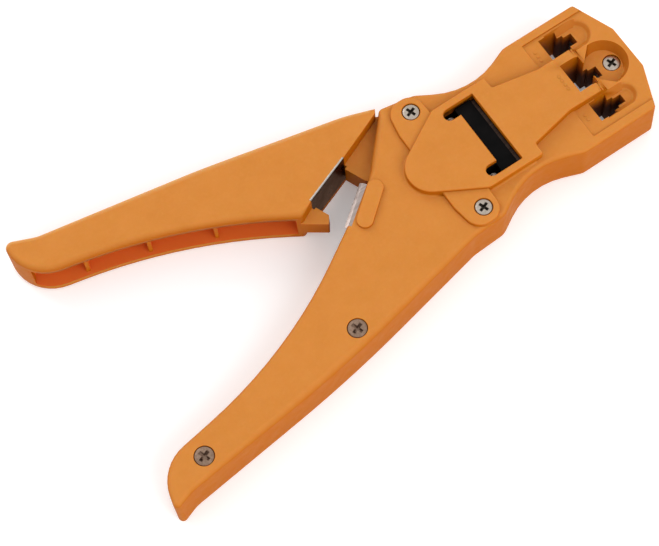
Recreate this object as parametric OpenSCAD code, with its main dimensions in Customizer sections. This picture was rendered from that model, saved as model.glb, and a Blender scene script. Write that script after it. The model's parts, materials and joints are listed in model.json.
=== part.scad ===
// Hand crimping tool for modular plugs: two-handled pliers with three plug sockets in the head,
// a sliding ram behind them, and a wire cutter between the handles.
// X runs along the tool towards the head, Y towards the moving handle, Z out of the front face.
// The origin is on the rear face, under the viewing window. Millimetres.

/* [Sockets] */
// Width of the eight-way plug socket
socket_8_w = 11.8; // [11.7:0.05:12]
// Width of the six-way plug socket
socket_6_w = 9.7; // [9.6:0.05:9.9]
// Width of the four-way plug socket
socket_4_w = 7.7; // [7.6:0.05:7.9]
// Depth of the sockets across a plug's flat body
socket_deep = 6.8; // [6.6:0.1:7]
// Wall between neighbouring sockets
socket_wall = 3.7; // [3.2:0.1:4]
// Distance from the origin to the contact side of the sockets
socket_x = 34.8; // [34.4:0.1:35.2]

/* [Housing] */
// Thickness of the closed housing
body_t = 18; // [17.6:0.1:18.4]
// Thickness of the rear cover
cover_t = 2.5; // [2.2:0.1:2.7]
// Thickness of the front skin
skin_t = 2.4; // [2:0.1:2.6]
// Thickness of the side walls
wall_t = 2.6; // [2.2:0.1:2.8]
// Height of the raised panel over the ram
island_rise = 3; // [2.8:0.1:3.4]
// Height of the ears round the two upper screws
ear_rise = 1.8; // [1.4:0.1:2]
// Height of the pad over the fixed blade
pad_rise = 1.2; // [0.8:0.1:1.4]

/* [Mechanism] */
// Closing swing of the moving handle, in degrees
swing = 16.8; // [14:0.1:17]
// Distance from the pivot to the centre of the roller
lever_arm = 21.4; // [21:0.1:21.6]
// Radius of the roller that pushes the ram
roller_r = 3.5; // [3.2:0.1:3.6]
// Radius of the pivot sleeve
pivot_r = 2.6; // [2.4:0.1:2.7]
// Outer diameter of the return springs
spring_d = 3; // [2.6:0.1:3]

/* [Cutter] */
// Length of the fixed blade
blade_len = 17; // [15:0.5:17.5]
// Thickness of the fixed blade
blade_t = 0.9; // [0.7:0.1:1]
// Length of the cutter's backing plate
plate_len = 19; // [17:0.5:19.5]
// Thickness of the backing plate
plate_t = 0.6; // [0.4:0.1:1]

/* [Fasteners] */
// Radius of the screw shanks
screw_r = 1.5; // [1.4:0.05:1.6]
// Radius of the ear and head screw heads
small_head_r = 2.9; // [2.6:0.1:3]
// Radius of the handle screw heads
large_head_r = 3.3; // [3:0.1:3.4]

/* [Hidden] */
$fn = 48;

orange = [0.85, 0.52, 0.2];
steel = [0.7, 0.7, 0.72];
dark_steel = [0.33, 0.3, 0.3];
black = [0.08, 0.08, 0.08];
fit = 0.05;        // radial clearance of a running fit
gap = 0.25;        // clearance round sliding pieces
skin_z = body_t - skin_t;              // inner face of the front skin
island_z = body_t + island_rise;
ear_z = body_t + ear_rise;
face_z = body_t - 0.8;                 // sunk plane that the sockets open into
roof_z = island_z - 2.1;               // inner face of the raised panel
tongue_top = 12.3;                     // the moving handle's middle layer
tongue_low = 3;
mouth_z = tongue_top + 0.3;

// Places of the screws: the two ears, the head, and two along the fixed handle
pivot = [-16.2, 21.2];
ear_right = [-16.2, -21.2];
head_screw_at = [51.8, 0];
handle_screw_at = [[-73.8, -32.3], [-137.9, -40.5]];
screw_places = concat([pivot, ear_right, head_screw_at], handle_screw_at);
recess_floor = 13;                     // floor of the bowl at the head screw
bowl_x = 48.2;                         // centre of the bowl and its radii
bowl_r = [6.9, 8.9];
screw_low = 0.6;                       // lower end of the screws
boss_low = cover_t + 1.7;              // where the bosses of housing and cover meet
hole_r = screw_r + 0.15;

// The sockets: [middle y, width, latch slot width, shoulder width, pips, contacts]
socket_8 = [0, socket_8_w, 4.2, 6, 4, 8];
socket_6 = [socket_8_w/2 + socket_wall + socket_6_w/2, socket_6_w, 4.1, 6.1, 3, 6];
socket_4 = [-(socket_8_w/2 + socket_wall + socket_4_w/2), socket_4_w, 3.2, 4.6, 2, 4];
sockets = [socket_8, socket_6, socket_4];
contact_pitch = 1.02;
latch_x = socket_x + socket_deep + 4.9;   // far end of the latch slots
mouth_lead = 0.8;                      // the middle socket opens wider in the raised panel
sunk_x = 29.1;                         // edges of the sunk plane round the sockets
sunk_y = [9.3, 20.5];
scoop_x = 47.2;                        // centre of the thumb recesses' round ends

// The ram, at rest
roller_at = pivot + lever_arm * [-sin(swing/2), -cos(swing/2)];
thrust_x = roller_at.x + roller_r + fit;
ram_low = cover_t + 0.2;
ram_half_w = 15.4;
ram_back = -10;
ram_front = 3;
carrier_front = 24;
die_tip = socket_x - 4.8;              // the crimping edges stand clear of the sockets
contact_z = [3.3, 9.3];                // height of the crimping dies
strain_z = [12.3, 14.5];               // height of the strain relief bars
die_back = 19;                         // dies and bars are let into the carrier from here
carrier_screw_at = [8, 7.5];           // y and z of the screws that hold the carrier
spring_y = 12.5;
spring_z = skin_z - spring_d/2 - 0.15;
anchor_x = -25.5;
hook_x = -5.8;

// Cutter lines: the shell's edge and the blade's edge, and the handle's edge with its plate
blade_from = [-43.5, 11.9];
blade_dir = [-0.782, -0.623];
blade_z = 13;
blade_rivets_at = [[4, 6.2], [12.5, 6.2]];
pad_from = [-50.6, -2.4];
pad_dir = [0.767, 0.642];
pad_len = 12.1;
pad_r = 2.9;
plate_from = [-44.6, 20.35];
plate_dir = [-0.932, -0.3624];

// Rounded outlines. A path is a list of [x, y, corner radius], run counter-clockwise.
function unit(v) = v / norm(v);
function turned(v, a) = [v.x*cos(a) - v.y*sin(a), v.x*sin(a) + v.y*cos(a)];
function xy(p) = [p.x, p.y];
function arc_corner(a, b, c) =
    let (p = xy(b), u = unit(xy(a) - p), v = unit(xy(c) - p), half = acos(u*v)/2, r = b[2])
    r < 0.05 || half > 89.5 ? [p] :
    let (m = p + unit(u + v)*r/sin(half), s = p + u*r/tan(half) - m, turn = 180 - 2*half,
        side = cross(u, v) > 0 ? -1 : 1,
        n = max(2, ceil(turn/9), ceil(turn*PI/180*r/7)))
    [for (k = [0:n]) m + turned(s, side*turn*k/n)];
function outline(path) = let (n = len(path))
    [for (i = [0:n - 1]) each arc_corner(path[(i + n - 1) % n], path[i], path[(i + 1) % n])];
function inset(path, d) = let (n = len(path))
    [for (i = [0:n - 1]) let (b = path[i],
        u = unit(xy(b) - xy(path[(i + n - 1) % n])), v = unit(xy(path[(i + 1) % n]) - xy(b)),
        p = xy(b) + ([-u.y, u.x] + [-v.y, v.x])*d/(1 + u*v))
        [p.x, p.y, cross(u, v) > 0 ? max(b[2] - d, 0.3) : b[2] + d]];
function flipped(path) = [for (i = [len(path) - 1:-1:0]) [path[i].x, -path[i].y, path[i][2]]];

half_head = [[58.4, 8.5, 2], [52.3, 23.7, 1.2], [23.3, 23.8, 6], [5.2, 16.95, 26], [-11.5, 26.9, 6.5]];
body_path = concat(half_head, [
    [-23.9, 29.1, 2.2], [-41.2, 9.6, 3], [-56.9, -0.7, 6],         // shoulder and handle root
    [-97.2, -26.3, 165], [-151.6, -35.2, 15],                      // inner edge of the handle
    [-155.3, -51, 1.6], [-147.6, -48.1, 12], [-82, -40.2, 500], [-24, -27.5, 8]   // outer edge
    ], [for (i = [len(half_head) - 1:-1:0])
        [half_head[i].x, -half_head[i].y, half_head[i][2]]]);
nose_x = 38;                           // the raised panel ends in a round nose
nose_r = 5;
half_island = [[-10.7, -17.1, 3], [10.9, -17.1, 0.8], [10.9, -12.6, 0.8], [27.3, -sunk_y[0], 8],
    [nose_x + nose_r, -sunk_y[0], 0]];
island_path = concat([[-31.3, 5.35, 9.1], [-31.3, -5.35, 9.1]], half_island, flipped(half_island));
ear_path = [[-10.8, 16, 0], [-11.2, 26.9, 5.4], [-22.6, 26.9, 5.8], [-24.4, 16, 4], [-24.4, 8, 0]];
handle_path = [
    [-25.8, 28.45, 1.2], [-24.7, 30.5, 0.8], [-36, 34.5, 60], [-86, 46, 300], [-143.2, 56, 12],
    [-154.2, 60.7, 2.4], [-154.5, 44.2, 15.2], [-102, 33, 205], [-66.9, 10.9, 1.5],
    [-61.9, 13.5, 3], [-44.6, 20.3, 0]];
tongue_path = [[-38, 8.3, 1.5], [-22.6, 28.3, 1], [-25.4, 29.6, 0], [-46, 31, 0], [-44.9, 20.3, 0],
    [-41.3, 12, 0.5]];
wedge_path = [[-60.1, 5.6, 0.4], [-58.2, 8.4, 0.4], [-61.4, 15.6, 0], [-71, 22, 0],
    [-67.6, 10.9, 0.5]];
// Open pockets in the inner side of the moving handle, and the ribs between them
pocket_z = [3.2, 14.5];
pocket_path = [[-149.4, 51, 1.5], [-151.6, 46.4, 0.3], [-143, 38, 6], [-136, 36, 40], [-102, 24, 100],
    [-70, 8.5, 0], [-65, 21.6, 2], [-104, 40, 120], [-138, 50, 10]];
rib_at = [[-134.6, 39.8], [-113.5, 33.8], [-92.3, 25.6]];
rib_turn = -20.8;                      // the ribs stand square to the grip
rib_t = 1.3;
rib_back = 1.4;                        // the ribs end this far inside the pockets' mouths

module along(p, dir, z) {
    translate([p.x, p.y, z]) rotate([0, 0, atan2(dir.y, dir.x)]) children();
}
module slab(path, z0, z1) {
    translate([0, 0, z0]) linear_extrude(z1 - z0) polygon(outline(path));
}
module block(low, high) {
    translate(low) cube(high - low);
}
module post(at, r, z0, z1) {
    translate([at.x, at.y, z0]) cylinder(r = r, h = z1 - z0);
}

// Head at the top, z1 is its top; a cross recess is cut into it
module screw(at, head_r, head_h, z0, z1) {
    difference() {
        union() {
            post(at, screw_r, z0, z1 - head_h + 0.01);
            translate([at.x, at.y, z1 - head_h]) cylinder(r1 = head_r - 0.35, r2 = head_r, h = 0.5);
            post(at, head_r, z1 - head_h + 0.5, z1);
        }
        for (a = [0, 90]) translate([at.x, at.y, z1 - 1.1]) rotate([0, 0, a + 20])
            translate([-head_r*0.62, -0.42, 0]) cube([head_r*1.24, 0.84, 2]);
        translate([at.x, at.y, z1 - 1.3]) cylinder(r = 0.85, h = 2);
    }
}

// A plug socket in plan: body, shoulders and latch slot
module socket_plan(s) {
    translate([socket_x, s[0] - s[1]/2]) square([socket_deep, s[1]]);
    translate([socket_x + socket_deep - 0.1, s[0] - s[3]/2]) square([2, s[3]]);
    translate([socket_x + socket_deep + 1, s[0] - s[2]/2])
        square([latch_x - socket_x - socket_deep - 1, s[2]]);
}
// A thumb recess: a slot with sloping walls and a conical end
module scoop(s) {
    r = s[1]/2 + 0.6;
    floor_z = face_z - 2.6;
    high = 3.2;
    translate([scoop_x, s[0], floor_z]) cylinder(r1 = r - 2, r2 = r + 0.4, h = high);
    translate([socket_x + 2.6, s[0], floor_z]) rotate([90, 0, 90])
        linear_extrude(scoop_x - socket_x - 2.6)
            polygon([[-r + 2, 0], [r - 2, 0], [r + 0.4, high], [-r - 0.4, high]]);
}
// The bowl at the head screw narrows towards the middle socket
module bowl() {
    half_w = 9.3;
    intersection() {
        translate([bowl_x, 0, recess_floor])
            cylinder(r1 = bowl_r[0], r2 = bowl_r[1], h = face_z - recess_floor + 1);
        slab([[39.4, -0.4, 0], [bowl_x + 0.1, -half_w, 0], [60, -half_w, 0], [60, half_w, 0],
            [bowl_x + 0.1, half_w, 0], [39.4, 0.4, 0]], recess_floor - 1, body_t + 1);
    }
}
// Half the width of a socket's comb of crimping edges
function comb_half(s) = (s[5] - 1)*contact_pitch/2 + 0.9;
// Slots through the wall in front of the ram, for the dies and the strain relief bars
module die_slots(s, grow) {
    w = comb_half(s) + grow;
    block([carrier_front - 1, s[0] - w, contact_z[0] - grow],
        [socket_x + 0.1, s[0] + w, contact_z[1] + grow]);
    block([carrier_front - 1, s[0] - w + 0.5, strain_z[0] - grow],
        [socket_x + 0.1, s[0] + w - 0.5, strain_z[1] + grow]);
}
module screw_boss(at, r) {
    post(at, r, boss_low, skin_z + 0.2);
}

module housing_outside() {
    slab(body_path, cover_t, body_t);
    intersection() {
        slab(island_path, body_t - 1, island_z);
        // the panel's end falls away in a round nose beside the middle socket
        translate([0, 20, 0]) rotate([90, 0, 0]) linear_extrude(40) union() {
            translate([-40, 0]) square([40 + nose_x, island_z]);
            translate([30, 0]) square([nose_x + nose_r - 30, island_z - nose_r]);
            translate([nose_x, island_z - nose_r]) circle(r = nose_r);
        }
    }
    slab(ear_path, body_t - 1, ear_z);
    slab(flipped(ear_path), body_t - 1, ear_z);
    along(pad_from, pad_dir, body_t - 1) {
        cylinder(r = pad_r, h = pad_rise + 1);
        translate([0, -pad_r, 0]) cube([pad_len, 2*pad_r, pad_rise + 1]);
        translate([pad_len, 0, 0]) cylinder(r = pad_r, h = pad_rise + 1);
    }
}
module ram_chamber() {
    slab([[socket_x - 1.8, -19.2, 1], [socket_x - 1.8, 19.2, 1], [22, 19.2, 3], [13, 16.9, 6],
        [-9, 18.2, 1], [-9, -18.2, 1], [13, -16.9, 6], [22, -19.2, 3]], cover_t - 1, skin_z);
    // raised bays over the ram's upper part and over the top of the pusher plate
    block([ram_back - 1, -14.6, skin_z - 1], [9.7, 14.6, roof_z]);
    block([ram_back - 1, -14.3, skin_z - 1], [11.2, 14.3, face_z + 0.1]);
}
module housing_hollow() {
    // the handle and the pivot space: everything left of the ram, inside the side walls
    intersection() {
        slab(inset(body_path, wall_t), cover_t - 1, skin_z);
        block([-170, -60, 0], [-8.5, 60, skin_z]);
    }
    post(pivot, 5.5, cover_t - 1, skin_z);
    ram_chamber();
    // mouth in the side wall for the handle's middle layer
    translate([0, 0, cover_t - 1]) linear_extrude(mouth_z - cover_t + 1)
        polygon([[-21.4, 34], [-21.4, 24], [-38, 3], [-52, -8], [-63.4, -10], [-63.4, 0],
            [-52, 12], [-40, 28], [-27, 36]]);
}
module window() {
    block([-3.35, -14.5, skin_z], [4.1, 14.5, island_z + 1]);
    for (side = [1, -1]) {
        block([-6.6, side*12.35 - 2.15, skin_z], [-3, side*12.35 + 2.15, island_z + 1]);
        post([-6.5, side*12.35], 2.15, skin_z, island_z + 1);
    }
}
module front_housing() {
    color(orange) difference() {
        union() {
            difference() {
                housing_outside();
                housing_hollow();
            }
            for (at = handle_screw_at) screw_boss(at, 4.2);
            screw_boss(ear_right, 4.6);
        }
        window();
        // sunk plane round the sockets
        block([sunk_x, -sunk_y[1], face_z], [60, -sunk_y[0], body_t + 1]);
        block([sunk_x, sunk_y[0], face_z], [60, sunk_y[1], body_t + 1]);
        block([nose_x + nose_r, -sunk_y[1], face_z], [60, sunk_y[1], body_t + 1]);
        for (s = sockets) {
            translate([0, 0, -1]) linear_extrude(island_z + 2) socket_plan(s);
            die_slots(s, gap);
        }
        scoop(socket_6);
        scoop(socket_4);
        bowl();
        block([socket_x - mouth_lead, -socket_8_w/2, face_z], [socket_x + 1, socket_8_w/2, island_z + 1]);
        // screw holes and the seats of their heads
        for (at = [pivot, ear_right]) {
            post(at, hole_r, 0, island_z);
            post(at, small_head_r + 0.25, ear_z - 2.1, island_z);
        }
        for (at = handle_screw_at) {
            post(at, hole_r, 0, island_z);
            post(at, large_head_r + 0.15, body_t - 2, island_z);
        }
        post(head_screw_at, hole_r, 0, recess_floor + 1);
        post(head_screw_at, small_head_r + 0.25, recess_floor - 1.8, recess_floor + 1);
        post(head_screw_at, 3.6, 0, boss_low);
        post(ear_right, pivot_r + 0.02, 0, skin_z);
        for (side = [1, -1]) post([anchor_x, side*spring_y], 0.9, 0, skin_z + 1.4);
        // bed of the fixed blade, and the shell cut back along it
        along(blade_from, blade_dir, blade_z - 0.02) translate([-0.3, -0.5, 0])
            cube([blade_len + 0.6, 10, blade_t + 0.04]);
        translate([0, 0, mouth_z - 0.1]) linear_extrude(10)
            polygon([[-41.2, 9.6], [-55.4, -1.5], [-56.6, 0.1], [-50, 8]]);
        along(blade_from, blade_dir, 0)
            for (at = blade_rivets_at) post(at, 0.8, mouth_z - 1, skin_z + 1);
        block([latch_x, -17.2, cover_t - 1], [latch_x + 1.55, 17.2, 9]);   // bay of the anvil
        // hollows that thin the head, open to the rear
        for (side = [1, -1]) block([50.2, side > 0 ? 8.5 : -17.5, cover_t - 1],
            [53.2, side > 0 ? 17.5 : -8.5, 10]);
    }
    color(orange) for (s = sockets) for (k = [0:s[4] - 1])
        translate([31.4, s[0] + (k - (s[4] - 1)/2)*1.8, s[0] == 0 ? island_z - 0.1 : face_z - 0.1])
            cylinder(r = 0.55, h = 0.35);
}
module rear_cover() {
    color(orange) difference() {
        union() {
            slab(body_path, 0, cover_t);
            for (at = concat([pivot, ear_right], handle_screw_at)) post(at, 4, 1, boss_low);
            post(head_screw_at, 3.5, 1, boss_low);
        }
        for (at = screw_places) {
            post(at, hole_r, -1, 6);
            translate([at.x, at.y, -1]) cylinder(r = 3.25, h = 3.9, $fn = 6);
        }
        // the plugs' noses rest on a ledge at the contact side
        for (s = sockets) translate([0, 0, -1]) linear_extrude(5) difference() {
            socket_plan(s);
            translate([socket_x - 1, s[0] - s[1]/2 - 1]) square([1.9, s[1] + 2]);
        }
    }
}

module ear_screws() {
    color([0.8, 0.76, 0.7]) for (at = [pivot, ear_right])
        screw(at, small_head_r, 1.9, screw_low, ear_z - 0.2);
}
module head_screw() {
    color([0.8, 0.76, 0.7]) screw(head_screw_at, small_head_r, 1.75, screw_low, recess_floor + 0.05);
}
module handle_screws() {
    color([0.45, 0.36, 0.33]) for (at = handle_screw_at)
        screw(at, large_head_r, 1.95, screw_low, body_t - 0.05);
}
module housing_nuts() {
    color(steel) for (at = screw_places) difference() {
        translate([at.x, at.y, 0.5]) cylinder(r = 3.15, h = 2.4, $fn = 6);
        post(at, screw_r + 0.02, 0, 4);
    }
}
module tube(at, r, bore, z0, z1) {
    difference() {
        post(at, r, z0, z1);
        post(at, bore, z0 - 1, z1 + 1);
    }
}
module pivot_sleeve() {
    color(steel) tube(pivot, pivot_r, hole_r, boss_low + 0.02, skin_z - 0.02);
}
module spacer_sleeve() {
    color(steel) tube(ear_right, pivot_r, hole_r, boss_low + 0.02, skin_z - 0.02);
}
module fixed_blade() {
    // ground on one side: the bevel runs down to the edge that faces the handle
    color([0.62, 0.55, 0.54]) difference() {
        along(blade_from, blade_dir, blade_z) rotate([90, 0, 90]) linear_extrude(blade_len)
            polygon([[0, 0], [9, 0], [9, blade_t], [1.2, blade_t], [0, 0.15]]);
        along(blade_from, blade_dir, blade_z - 1)
            for (at = blade_rivets_at) post(at, 0.8, 0, 3);
    }
}
module blade_rivets() {
    color(steel) along(blade_from, blade_dir, 0)
        for (at = blade_rivets_at) post(at, 0.78, mouth_z - 0.1, skin_z + 0.9);
}
module latch_anvil() {
    color(steel) block([latch_x + 0.02, -17.1, cover_t + 0.05], [latch_x + 1.5, 17.1, 8.95]);
}
module spring_anchors() {
    color(steel) for (side = [1, -1])
        post([anchor_x, side*spring_y], 0.88, tongue_top + 0.2, skin_z + 1.35);
}
// Outer shape of a coiled extension spring with a loop at each end
module return_spring(side) {
    color(steel) translate([0, side*spring_y, spring_z]) {
        difference() {
            translate([anchor_x + 1.9, 0, 0]) rotate([0, 90, 0])
                cylinder(d = spring_d, h = hook_x - anchor_x - 3.8);
            translate([anchor_x + 2.6, 0, 0]) rotate([0, 90, 0])
                cylinder(d = spring_d - 1, h = hook_x - anchor_x - 5.2);
        }
        for (x = [anchor_x, hook_x]) translate([x, 0, 0]) rotate_extrude()
            translate([1.6, 0]) circle(r = 0.4);
    }
}
module return_spring_left() return_spring(1);
module return_spring_right() return_spring(-1);

module carrier_axis(side) {
    translate([0, side*carrier_screw_at[0], carrier_screw_at[1]]) rotate([0, 90, 0]) children();
}
module ram_block() {
    color(black) difference() {
        union() {
            block([ram_back, -ram_half_w, ram_low], [ram_front, ram_half_w, skin_z - gap]);
            block([ram_back, -14.2, skin_z - 1], [ram_front, 14.2, roof_z - 0.9]);
            translate([0, 0, 3.2]) linear_extrude(8.2) polygon([[thrust_x + 1.2, -3.4],
                [ram_back + 1, -9.5], [ram_back + 1, 9.5], [thrust_x + 1.2, 3.4]]);
        }
        // channels of the return springs, open upwards below the window's corners
        for (side = [1, -1]) {
            block([ram_back - 1, side*spring_y - 2.2, spring_z - 1.8],
                [hook_x + 2.4, side*spring_y + 2.2, island_z]);
            post([hook_x, side*spring_y], 0.8, 8.9, island_z);
        }
        for (side = [1, -1]) carrier_axis(side) {
            translate([0, 0, ram_back - 6]) cylinder(r = 2.8, h = 12);
            translate([0, 0, ram_back - 6]) cylinder(r = screw_r + 0.1, h = 25);
        }
    }
}
module pusher_plate() {
    color(dark_steel) difference() {
        union() {
            block([ram_front, -15.2, ram_low + 0.2], [ram_front + 1.5, 15.2, skin_z - gap]);
            block([ram_front, -13.9, skin_z - 1], [ram_front + 1.5, 13.9, face_z - 0.2]);
        }
        for (side = [1, -1]) carrier_axis(side)
            cylinder(r = screw_r + 0.1, h = 10);
    }
}
module die_carrier() {
    color(black) difference() {
        union() {
            block([ram_front + 1.5, -16.4, ram_low], [carrier_front, 16.4, skin_z - gap]);
            block([20.5, -18.3, ram_low], [carrier_front, 18.3, skin_z - gap]);
        }
        for (s = sockets) {
            w = comb_half(s);
            block([die_back, s[0] - w, contact_z[0]], [carrier_front + 1, s[0] + w, contact_z[1]]);
            block([die_back, s[0] - w + 0.5, strain_z[0]],
                [carrier_front + 1, s[0] + w - 0.5, strain_z[1]]);
        }
        for (side = [1, -1]) carrier_axis(side)
            cylinder(r = screw_r, h = 16);
    }
}
module carrier_screws() {
    color(steel) for (side = [1, -1]) carrier_axis(side) difference() {
        union() {
            translate([0, 0, -6]) cylinder(r = 2.6, h = 2);
            translate([0, 0, -6]) cylinder(r = screw_r, h = 21.5);
        }
        translate([0, 0, -7]) cylinder(r = 1.3, h = 2.4, $fn = 6);
    }
}
module thrust_pad() {
    color(steel) block([thrust_x, -3.2, 4.2], [thrust_x + 1.2, 3.2, 10.6]);
}
// A comb of crimping edges, one for each contact of the plug
module crimp_die(s) {
    w = comb_half(s);
    color(steel) {
        block([die_back, s[0] - w, contact_z[0]], [26, s[0] + w, contact_z[1]]);
        for (k = [0:s[5] - 1]) {
            y = s[0] + (k - (s[5] - 1)/2)*contact_pitch;
            block([25.5, y - 0.22, contact_z[0] + 0.3], [die_tip, y + 0.22, contact_z[1] - 0.3]);
        }
    }
}
module crimp_die_8() crimp_die(socket_8);
module crimp_die_6() crimp_die(socket_6);
module crimp_die_4() crimp_die(socket_4);
module strain_bar(s) {
    w = comb_half(s) - 0.5;
    long = die_tip - die_back;
    high = strain_z[1] - strain_z[0];
    color(steel) translate([die_back, s[0] + w, strain_z[0]]) rotate([90, 0, 0]) linear_extrude(2*w)
        polygon([[0, 0], [long - 0.6, 0], [long, 0.7], [long, high - 0.7], [long - 0.6, high],
            [0, high]]);
}
module strain_bar_8() strain_bar(socket_8);
module strain_bar_6() strain_bar(socket_6);
module strain_bar_4() strain_bar(socket_4);
module spring_hooks() {
    color(steel) for (side = [1, -1]) post([hook_x, side*spring_y], 0.78, 9, skin_z - 0.3);
}

core_z = [4.4, 10.4];
core_pins = [[-40, 25.5], [-57, 29.5]];
module core_plan(grow) {
    polygon(outline([[-15, 16.5, 0], [-15, 24.6, 2], [-22.5, 25, 6], [-37, 31, 6], [-62, 35, 2],
        [-62, 24.5, 2], [-45, 24, 8], [-30, 19.5, 10]]));
    translate(pivot) circle(r = 5 + grow);
}
module moving_handle() {
    color(orange) difference() {
        union() {
            slab(handle_path, 0, body_t);
            slab(tongue_path, tongue_low, tongue_top);
            slab(wedge_path, 5.2, tongue_top);
        }
        difference() {
            slab(pocket_path, pocket_z[0], pocket_z[1]);
            intersection() {
                slab(inset(handle_path, rib_back), 0, body_t);
                for (at = rib_at) translate([at.x, at.y, 0]) rotate([0, 0, rib_turn])
                    translate([-rib_t/2, -20, 0]) cube([rib_t, 50, body_t]);
            }
        }
        translate([0, 0, core_z[0] - 0.02]) linear_extrude(core_z[1] - core_z[0] + 0.04)
            core_plan(0.4);
        for (at = core_pins) post(at, 1.5, tongue_low, tongue_top - 0.3);
        along(plate_from, plate_dir, 1.5) translate([-0.9, -plate_t - 0.02, 0])
            cube([plate_len, plate_t + 1, body_t]);
    }
}
module lever_core() {
    color(steel) difference() {
        translate([0, 0, core_z[0]]) linear_extrude(core_z[1] - core_z[0]) union() {
            core_plan(0);
            translate(roller_at) circle(r = 3.1);
            polygon([pivot + [-4.6, -1], roller_at + [-3, 0.6], roller_at + [2.9, 1], pivot + [3.6, -3.4]]);
        }
        post(pivot, 3.6, 0, 12);
        post(roller_at, 1.3, 0, 12);
        post(roller_at, roller_r + 0.5, 6, 8.8);
        for (at = core_pins) post(at, 1.5, 0, 12);
    }
}
module pivot_bush() {
    color([0.72, 0.55, 0.3]) tube(pivot, 3.6, pivot_r + fit, core_z[0], core_z[1]);
}
module lever_rivets() {
    color(steel) for (at = core_pins) post(at, 1.48, tongue_low + 0.1, tongue_top - 0.35);
}
module backing_plate() {
    color(dark_steel) along(plate_from, plate_dir, 1.55) translate([-0.88, -plate_t, 0])
        cube([plate_len - 0.04, plate_t, body_t - 1.4]);
}
module roller_pin() {
    color(steel) post(roller_at, 1.28, core_z[0] + 0.05, core_z[1] - 0.05);
}
module cam_roller() {
    color(steel) tube(roller_at, roller_r, 1.28 + fit, 6.2, 8.6);
}

front_housing();
rear_cover();
ear_screws();
head_screw();
handle_screws();
housing_nuts();
pivot_sleeve();
spacer_sleeve();
fixed_blade();
blade_rivets();
latch_anvil();
spring_anchors();
return_spring_left();
return_spring_right();
ram_block();
pusher_plate();
die_carrier();
carrier_screws();
thrust_pad();
crimp_die_8();
crimp_die_6();
crimp_die_4();
strain_bar_8();
strain_bar_6();
strain_bar_4();
spring_hooks();
moving_handle();
lever_core();
pivot_bush();
lever_rivets();
backing_plate();
roller_pin();
cam_roller();
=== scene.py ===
# The looks of a hand crimping tool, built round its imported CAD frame.
import json
import math

import bmesh
import bpy
from mathutils import Matrix, Vector

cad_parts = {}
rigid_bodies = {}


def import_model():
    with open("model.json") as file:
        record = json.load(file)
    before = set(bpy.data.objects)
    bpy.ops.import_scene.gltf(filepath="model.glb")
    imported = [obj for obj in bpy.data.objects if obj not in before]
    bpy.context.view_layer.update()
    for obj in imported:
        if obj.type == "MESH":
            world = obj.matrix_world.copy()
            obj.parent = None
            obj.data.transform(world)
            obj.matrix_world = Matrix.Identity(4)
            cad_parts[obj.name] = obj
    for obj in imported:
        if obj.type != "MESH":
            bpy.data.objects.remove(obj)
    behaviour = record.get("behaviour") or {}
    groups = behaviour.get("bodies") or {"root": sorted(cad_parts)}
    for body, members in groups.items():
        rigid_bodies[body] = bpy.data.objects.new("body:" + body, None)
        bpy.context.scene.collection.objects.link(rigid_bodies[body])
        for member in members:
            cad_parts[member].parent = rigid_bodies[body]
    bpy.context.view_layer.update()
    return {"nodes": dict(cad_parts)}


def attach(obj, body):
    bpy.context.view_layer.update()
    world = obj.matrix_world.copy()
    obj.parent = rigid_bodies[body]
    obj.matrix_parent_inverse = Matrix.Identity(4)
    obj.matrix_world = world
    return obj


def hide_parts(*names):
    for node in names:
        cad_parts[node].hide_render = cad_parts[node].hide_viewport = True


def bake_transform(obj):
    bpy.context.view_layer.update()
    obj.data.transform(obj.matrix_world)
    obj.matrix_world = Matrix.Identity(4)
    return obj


for thing in list(bpy.data.objects):
    bpy.data.objects.remove(thing)
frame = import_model()
NODES = frame["nodes"]
SCENE = bpy.context.scene
MM = 0.001

# Levels of the housing, in millimetres
BODY_Z = 18.0
ISLAND_Z = 21.0
EAR_Z = 19.8
PAD_Z = 19.2

# Screws: their places, their bores' radii, and each head's radius, height and top level
PIVOT = (-16.2, 21.2)
EAR_RIGHT = (-16.2, -21.2)
HEAD_SCREW = (51.8, 0.0)
HANDLE_SCREWS = ((-73.8, -32.3), (-137.9, -40.5))
EAR_BORE_R = 3.15
HANDLE_BORE_R = 3.45
EAR_SCREW_HEAD = (2.9, 1.9, EAR_Z - 0.2)
HEAD_SCREW_HEAD = (2.9, 1.75, 13.05)
HANDLE_SCREW_HEAD = (3.3, 1.95, BODY_Z - 0.05)
SCREW_FOOT = 0.6
SHANK_R = 1.48

# Return springs: their distance from the middle, their level, and the posts that hold their ends
SPRING_Y = 12.5
SPRING_Z = 13.95
ANCHOR_X = -25.5
HOOK_X = -5.8

# Points closer than this are merged, and faces within this angle count as one flat face
WELD_DIST = 0.002
FLAT_ANGLE = math.radians(0.4)


# ---------------------------------------------------------------- materials

# Painted light: faces towards +Z take the two paler mottled colours as a painted sheen, and the sides
# take the deeper side colour as painted shade
SHEEN_FACE_ORANGE = ((0.570, 0.208, 0.037), (0.600, 0.223, 0.043))
SPECK_ORANGE = (0.625, 0.248, 0.052)
SHADED_SIDE_ORANGE = (0.430, 0.112, 0.002)
# painted bounce light: the deeper orange of the grip's pocket walls
POCKET_BOUNCE_ORANGE = (0.660, 0.133, 0.022)
# painted sheen: the pale colour of the grip's edges facing +Y
EDGE_SHEEN_ORANGE = (0.650, 0.310, 0.100)
# painted shade: the colour the plug sockets' lower walls are darkened towards
SOCKET_SHADE = (0.075, 0.016, 0.005)
SOCKET_SHADE_Z = 12.2          # painted shade darkens the plug sockets' walls below about this level
SOCKET_SHADE_FADE = 3.4        # the painted shade comes in over this height on each side of it
SOCKET_SHADE_EDGE = 0.05       # and over this width on each side of the row's edges
SOCKET_ROW = (("X", 40.4, 6.4), ("Y", 0.0, 18.9))       # axis, middle and half width


def new_material(name):
    """(material, its node tree, its principled shader)."""
    mat = bpy.data.materials.new(name)
    mat.use_nodes = True
    tree = mat.node_tree
    return mat, tree, tree.nodes["Principled BSDF"]


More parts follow.
